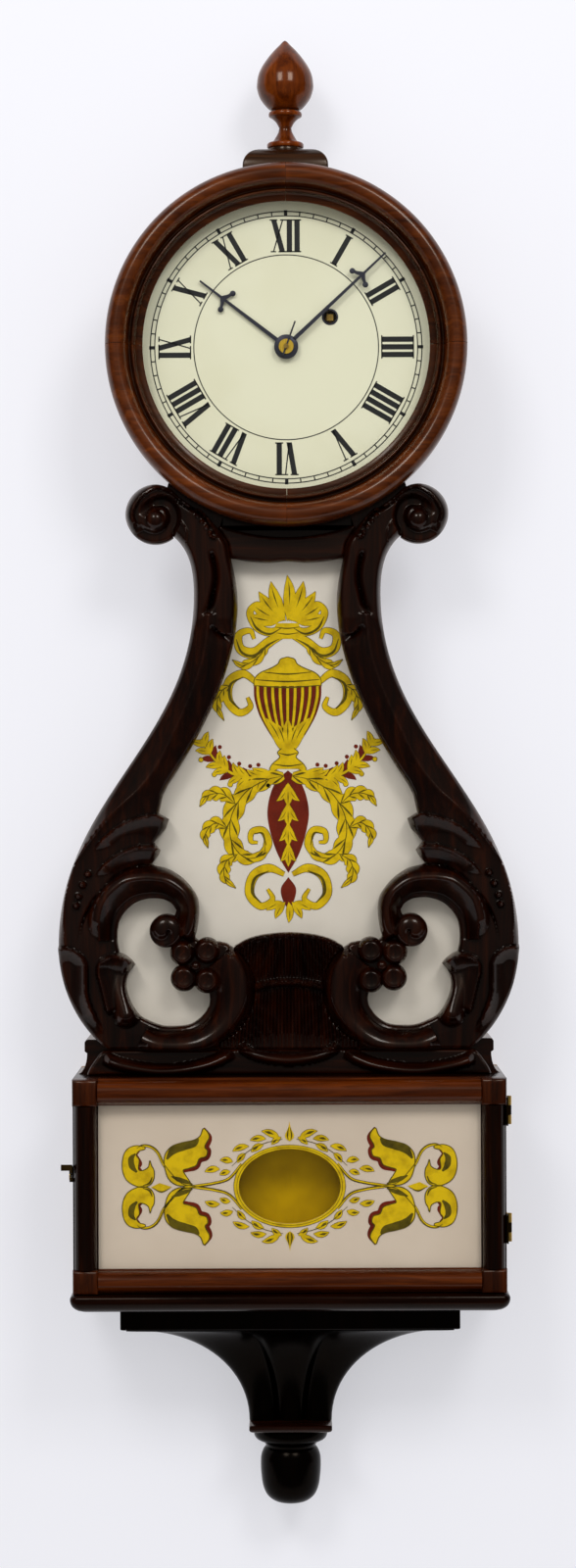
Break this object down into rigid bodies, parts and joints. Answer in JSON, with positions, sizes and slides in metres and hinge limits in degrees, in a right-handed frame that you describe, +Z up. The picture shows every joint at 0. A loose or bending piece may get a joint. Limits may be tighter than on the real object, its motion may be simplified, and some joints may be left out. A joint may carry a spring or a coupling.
{
  "type": "lyre wall clock",
  "caption": "Weight-driven pendulum wall clock with a carved lyre front, round turned bezel, painted tablets, a hinged pendulum box and a bracket with a turned drop.",
  "frame": {"origin": "centre of the hanger hole, on the wall plane", "axes": "+X right as seen from the front, +Y into the wall, +Z up"},
  "size_m": [0.3304, 0.1215, 1.0678],
  "materials": {
    "mahogany": "polished mahogany",
    "dark_wood": "dark polished mahogany",
    "pine": "plain pine",
    "brass": "aged brass",
    "steel": "polished steel",
    "blued_steel": "blued steel",
    "dial_paint": "painted iron",
    "clear_glass": "clear",
    "painted_glass": "reverse painted",
    "iron": "cast",
    "line": "gut line"
  },
  "bodies": {
    "case": {"backboard": "pine", "head_drum": "mahogany", "finial_block": "dark_wood", "finial": "mahogany", "throat_sides": "dark_wood", "left_arm": "dark_wood", "right_arm": "dark_wood", "top_rail": "dark_wood", "fan_panel": "dark_wood", "lyre_foot": "dark_wood", "throat_glass": "painted_glass", "glass_cleats": "pine", "plinth": "dark_wood", "box_top": "mahogany", "box_sides": "mahogany", "base_moulding": "mahogany", "bracket_shelf": "dark_wood", "bracket_corbel": "dark_wood", "bracket_cap": "dark_wood", "pendant_drop": "dark_wood", "hanger_plate": "brass", "brass_screws": "brass", "baffle": "pine", "dial": "dial_paint", "front_plate": "brass", "back_plate": "brass", "plate_pillars": "brass", "movement_posts": "steel", "suspension_bridge": "brass", "case_hinge_leaves": "brass", "weight_line": "line"},
    "bezel_door": {"bezel_segments": "mahogany", "bezel_glass": "clear_glass", "bezel_hinge_leaf": "brass"},
    "box_door": {"door_rails": "mahogany", "door_stiles": "mahogany", "door_corner_blocks": "mahogany", "box_glass": "painted_glass", "door_hinge_leaves": "brass", "latch_pin": "brass"},
    "latch": {"latch_hook": "brass"},
    "minute_train": {"centre_wheel": "brass", "cannon_pinion": "steel", "minute_hand": "blued_steel", "hand_collet": "brass", "taper_pin": "steel"},
    "hour_train": {"hour_wheel": "brass", "hour_hand": "blued_steel"},
    "minute_wheel_body": {"minute_wheel": "brass"},
    "great_wheel_body": {"great_wheel": "brass"},
    "click_body": {"click": "steel"},
    "barrel": {"winding_barrel": "brass"},
    "third_wheel_body": {"third_wheel": "brass"},
    "escape_wheel_body": {"escape_wheel": "brass"},
    "verge_body": {"verge": "steel"},
    "pendulum": {"pendulum_rod": "brass"},
    "bob": {"pendulum_bob": "brass"},
    "rating": {"rating_nut": "brass"},
    "drive_weight": {"weight": "iron"},
    "pulley": {"weight_pulley": "brass"}
  },
  "joints": [
    {"name": "bezel_hinge", "type": "hinge", "parent": "case", "child": "bezel_door", "pos_m": [0.1236, -0.0772, -0.084], "axis": [0, 0, 1], "range_deg": [0, 100]},
    {"name": "box_door_hinge", "type": "hinge", "parent": "case", "child": "box_door", "pos_m": [0.1561, -0.10025, -0.682], "axis": [0, 0, 1], "range_deg": [0, 120]},
    {"name": "latch_turn", "type": "hinge", "parent": "case", "child": "latch", "pos_m": [-0.1551, -0.084, -0.678], "axis": [-1, 0, 0], "range_deg": [-16, 40]},
    {"name": "minute_turn", "type": "hinge", "parent": "case", "child": "minute_train", "pos_m": [0, -0.06, -0.084], "axis": [0, 1, 0], "continuous": true},
    {"name": "hour_turn", "type": "hinge", "parent": "case", "child": "hour_train", "pos_m": [0, -0.066, -0.084], "axis": [0, 1, 0], "continuous": true},
    {"name": "minute_wheel_turn", "type": "hinge", "parent": "case", "child": "minute_wheel_body", "pos_m": [-0.00492, -0.06, -0.09753], "axis": [0, 1, 0], "continuous": true},
    {"name": "great_wheel_turn", "type": "hinge", "parent": "case", "child": "great_wheel_body", "pos_m": [0.0316, -0.044, -0.0623], "axis": [0, 1, 0], "continuous": true},
    {"name": "click_turn", "type": "hinge", "parent": "great_wheel_body", "child": "click_body", "pos_m": [0.0516, -0.043, -0.0623], "axis": [0, 1, 0], "range_deg": [0, 12], "stiffness_Nm_per_rad": 0.005, "springref_deg": -11.46},
    {"name": "barrel_wind", "type": "hinge", "parent": "great_wheel_body", "child": "barrel", "pos_m": [0.0316, -0.032, -0.0623], "axis": [0, 1, 0], "range_deg": [-5, 5400]},
    {"name": "third_wheel_turn", "type": "hinge", "parent": "case", "child": "third_wheel_body", "pos_m": [-0.026, -0.03, -0.07942], "axis": [0, 1, 0], "continuous": true},
    {"name": "escape_wheel_turn", "type": "hinge", "parent": "case", "child": "escape_wheel_body", "pos_m": [-0.01823, -0.026, -0.06018], "axis": [0, 1, 0], "continuous": true},
    {"name": "pendulum_swing", "type": "hinge", "parent": "case", "child": "pendulum", "pos_m": [0, -0.06, -0.034], "axis": [0, 1, 0], "range_deg": [-3.5, 3.5]},
    {"name": "verge_rock", "type": "hinge", "parent": "case", "child": "verge_body", "pos_m": [0, -0.03, -0.034], "axis": [0, 1, 0], "range_deg": [-4, 4]},
    {"name": "bob_rating", "type": "slide", "parent": "pendulum", "child": "bob", "axis": [0, 0, 1], "range_m": [-0.0021, 0.0021]},
    {"name": "rating_nut_turn", "type": "hinge", "parent": "bob", "child": "rating", "pos_m": [0, -0.06, -0.735], "axis": [0, 0, 1], "range_deg": [-1090, 1090]},
    {"name": "weight_travel", "type": "slide", "parent": "case", "child": "drive_weight", "axis": [0, 0, 1], "range_m": [0, 0.4], "deforming": ["weight_line"]},
    {"name": "pulley_turn", "type": "hinge", "parent": "drive_weight", "child": "pulley", "pos_m": [0.01345, -0.03325, -0.561], "axis": [0, 1, 0], "range_deg": [-2500, 10]}
  ],
  "couplings": [
    {"joint": "hour_turn", "follows": "minute_turn", "ratio": 0.083333},
    {"joint": "minute_wheel_turn", "follows": "minute_turn", "ratio": -0.33333},
    {"joint": "great_wheel_turn", "follows": "minute_turn", "ratio": -0.083333},
    {"joint": "third_wheel_turn", "follows": "minute_turn", "ratio": -10},
    {"joint": "escape_wheel_turn", "follows": "minute_turn", "ratio": 93.75},
    {"joint": "verge_rock", "follows": "pendulum_swing", "ratio": 1},
    {"joint": "rating_nut_turn", "follows": "bob_rating", "rad_per_m": 8976},
    {"joint": "barrel_wind", "follows": "weight_travel", "rad_per_m": 232.56},
    {"joint": "pulley_turn", "follows": "weight_travel", "rad_per_m": -105.82}
  ]
}
